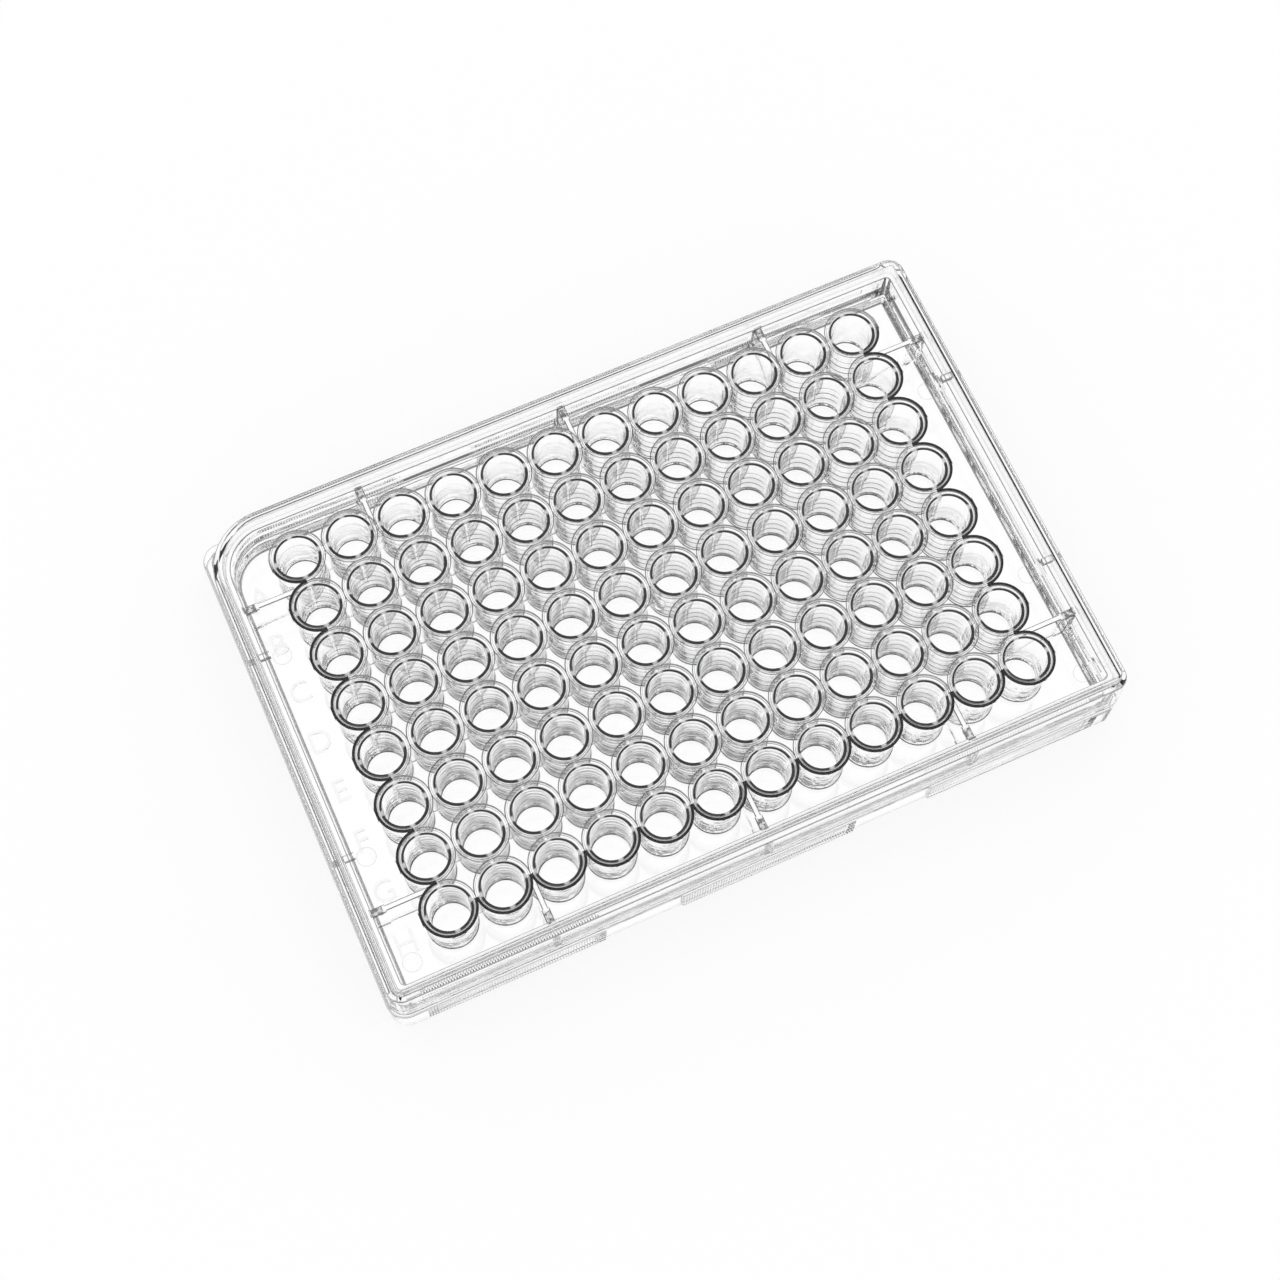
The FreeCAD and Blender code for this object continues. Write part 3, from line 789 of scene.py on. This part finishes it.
def make_floor():
    """A pale floor that glows white, and keeps a part of the object's shadow."""
    r = FLOOR_REACH
    floor = prism("floor", ((-r, -r), (r, -r), (r, r), (-r, r)), -1, -AIR)
    material = bpy.data.materials.new("floor")
    material.use_nodes = True
    tree = material.node_tree
    tree.nodes.clear()
    output = tree.nodes.new("ShaderNodeOutputMaterial")
    mix = tree.nodes.new("ShaderNodeMixShader")
    glow = tree.nodes.new("ShaderNodeEmission")
    glow.inputs["Color"].default_value = (1, 1, 1, 1)
    diffuse = tree.nodes.new("ShaderNodeBsdfDiffuse")
    diffuse.inputs["Color"].default_value = FLOOR_COLOUR
    path = tree.nodes.new("ShaderNodeLightPath").outputs
    seen = math_node(tree, "MULTIPLY", path["Is Camera Ray"], FLOOR_GLOW)
    tree.links.new(greatest(tree, path["Is Transmission Ray"], path["Is Glossy Ray"], seen), mix.inputs[0])
    tree.links.new(diffuse.outputs[0], mix.inputs[1])
    tree.links.new(glow.outputs[0], mix.inputs[2])
    tree.links.new(mix.outputs[0], output.inputs[0])
    floor.data.materials.append(material)


def make_world():
    """White all round for the camera and the floor, and a little less for the plastic."""
    world = bpy.data.worlds.new("studio")
    bpy.context.scene.world = world
    world.use_nodes = True
    tree = world.node_tree
    tree.nodes.clear()
    output = tree.nodes.new("ShaderNodeOutputWorld")
    background = tree.nodes.new("ShaderNodeBackground")
    background.inputs["Color"].default_value = (1, 1, 1, 1)
    path = tree.nodes.new("ShaderNodeLightPath").outputs
    strength = greatest(tree, path["Is Camera Ray"], path["Is Diffuse Ray"], STUDIO)
    tree.links.new(strength, background.inputs["Strength"])
    tree.links.new(background.outputs[0], output.inputs[0])


def make_camera():
    """The photo's own view, fitted to the well rims and the outlines."""
    data = bpy.data.cameras.new("camera")
    data.lens = 63.74
    data.sensor_width = 36
    camera = bpy.data.objects.new("camera", data)
    camera.location = (-0.059334, -0.114172, 0.352027)
    camera.rotation_euler = [math.radians(angle) for angle in (20.0127, -0.6842, -24.2698)]
    bpy.context.scene.collection.objects.link(camera)
    bpy.context.scene.camera = camera


make_floor()
make_world()
make_camera()

scene = bpy.context.scene
scene.view_settings.view_transform = "Standard"
scene.cycles.max_bounces = 24
scene.cycles.transmission_bounces = 24
scene.cycles.glossy_bounces = 16
